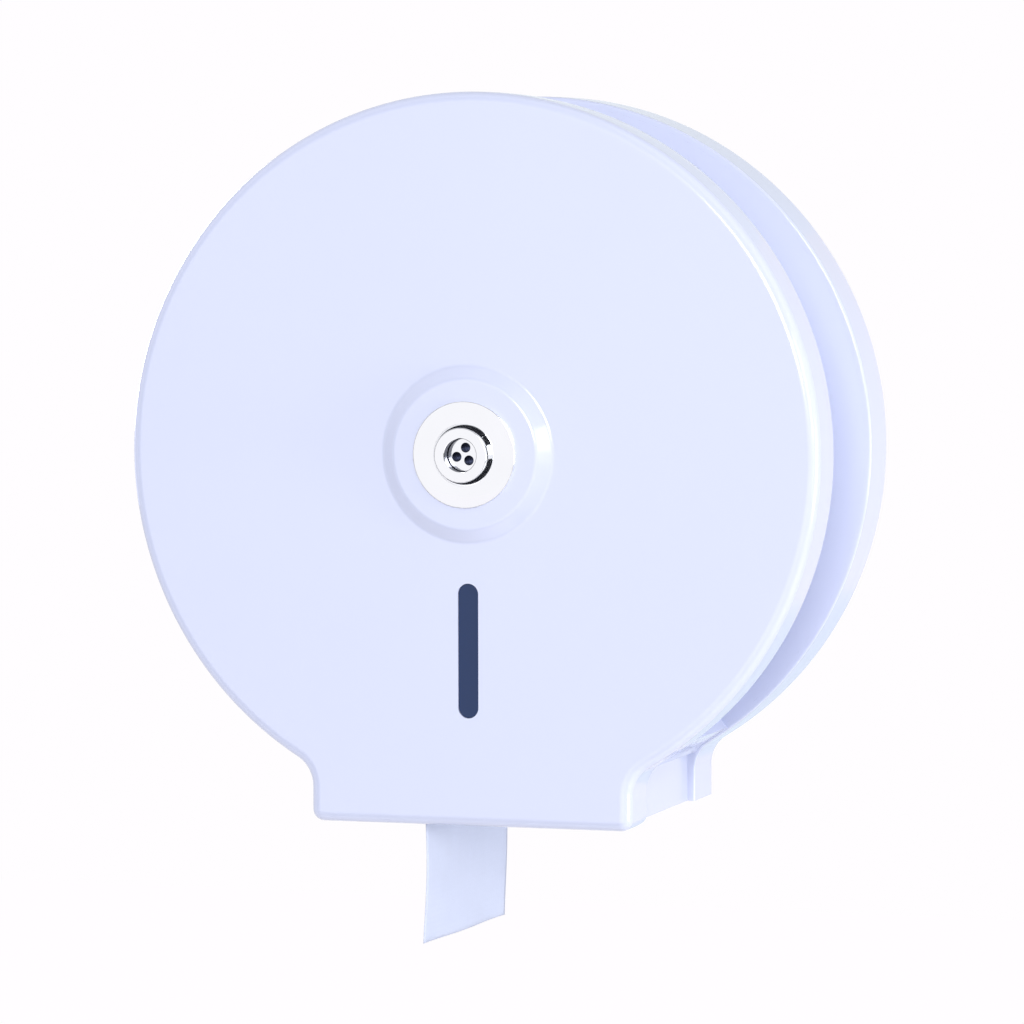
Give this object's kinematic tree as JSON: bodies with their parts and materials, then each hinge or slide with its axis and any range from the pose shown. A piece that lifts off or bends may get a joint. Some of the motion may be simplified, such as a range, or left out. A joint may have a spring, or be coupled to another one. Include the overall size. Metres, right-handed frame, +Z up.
{
  "type": "jumbo toilet roll dispenser",
  "caption": "Wall-mounted spool-shaped case for a large toilet roll, with a hinged locked cover, a dark level window and paper hanging from a short skirt.",
  "frame": {"origin": "on the flat back face, against the wall, behind the centre of the disc and of the roll's spindle", "axes": "+Z up, -Y out of the wall towards the user, +X to the right as the user sees the cover"},
  "size_m": [0.304, 0.1324, 0.362],
  "materials": {
    "white_case": "gloss moulded, faintly cool white",
    "polished_lock": "polished",
    "zinc_steel": "zinc plated, satin",
    "spring_steel": "cold rolled",
    "grey_acetal": "moulded, satin",
    "bearing_nylon": "moulded",
    "smoked_window": "smoked, see-through dark blue grey",
    "cardboard": "spiral wound board",
    "tissue": "soft embossed tissue"
  },
  "bodies": {
    "base": {"back_tray": "white_case", "drum_shell": "white_case", "drum_screws": "zinc_steel", "tear_blade_left": "spring_steel", "tear_blade_right": "spring_steel", "spindle": "grey_acetal", "spindle_screws": "zinc_steel", "thrust_washer": "bearing_nylon", "hub_clip": "spring_steel", "strike_plate": "zinc_steel", "strike_screws": "zinc_steel", "paper_tail": "tissue", "hinge_base_leaf": "zinc_steel", "hinge_base_screws": "zinc_steel", "hinge_pin": "zinc_steel"},
    "cover": {"front_cover": "white_case", "window_lens": "smoked_window", "lock_plate": "polished_lock", "lock_barrel": "polished_lock", "lock_washer": "zinc_steel", "lock_nut": "zinc_steel", "hinge_cover_leaf": "zinc_steel", "hinge_cover_screws": "zinc_steel"},
    "lock": {"lock_core": "polished_lock", "lock_cam": "zinc_steel", "cam_screw": "zinc_steel"},
    "roll": {"roll_hub": "grey_acetal", "roll_core": "cardboard", "paper_roll": "tissue"}
  },
  "joints": [
    {"name": "cover_hinge", "type": "hinge", "parent": "base", "child": "cover", "pos_m": [-0.14426, -0.0923, 0], "axis": [0, 0, -1], "range_deg": [0, 100]},
    {"name": "lock_turn", "type": "hinge", "parent": "cover", "child": "lock", "pos_m": [0, -0.12, 0], "axis": [0, 1, 0], "range_deg": [0, 90]},
    {"name": "roll_spin", "type": "hinge", "parent": "base", "child": "roll", "pos_m": [0, -0.06, 0], "axis": [0, 1, 0], "continuous": true}
  ]
}
